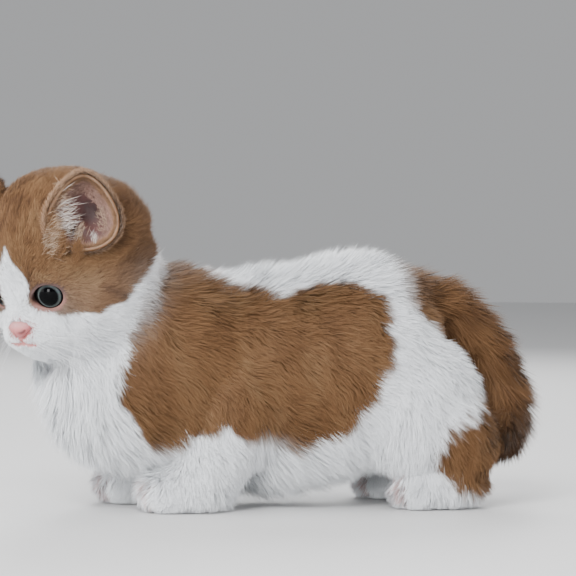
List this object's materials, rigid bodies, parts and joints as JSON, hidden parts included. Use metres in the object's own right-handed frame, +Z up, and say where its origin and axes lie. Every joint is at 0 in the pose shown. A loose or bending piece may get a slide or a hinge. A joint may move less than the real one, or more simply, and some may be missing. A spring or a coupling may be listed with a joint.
{
  "type": "munchkin kitten figure",
  "caption": "Life-size standing munchkin kitten with very short legs, a rounded head turned to its left, and a thick tail curled down round one hind leg.",
  "frame": {"origin": "on the floor, under the middle of the bounding box", "axes": "-X towards the chest and head, +X towards the rump, -Y towards the kitten's left side, +Z up"},
  "size_m": [0.2242, 0.0794, 0.1331],
  "materials": {
    "ginger_coat": "soft fur",
    "white_coat": "soft fur",
    "ear": "thin bare skin",
    "eye": "wet"
  },
  "bodies": {
    "root": {"ear_left": "ear", "ear_right": "ear", "eye_left": "eye", "eye_right": "eye", "foreleg_left": "white_coat", "foreleg_right": "white_coat", "head": "ginger_coat", "hindleg_left": "white_coat", "hindleg_right": "white_coat", "neck": "white_coat", "tail": "ginger_coat", "torso": "ginger_coat"}
  },
  "joints": []
}
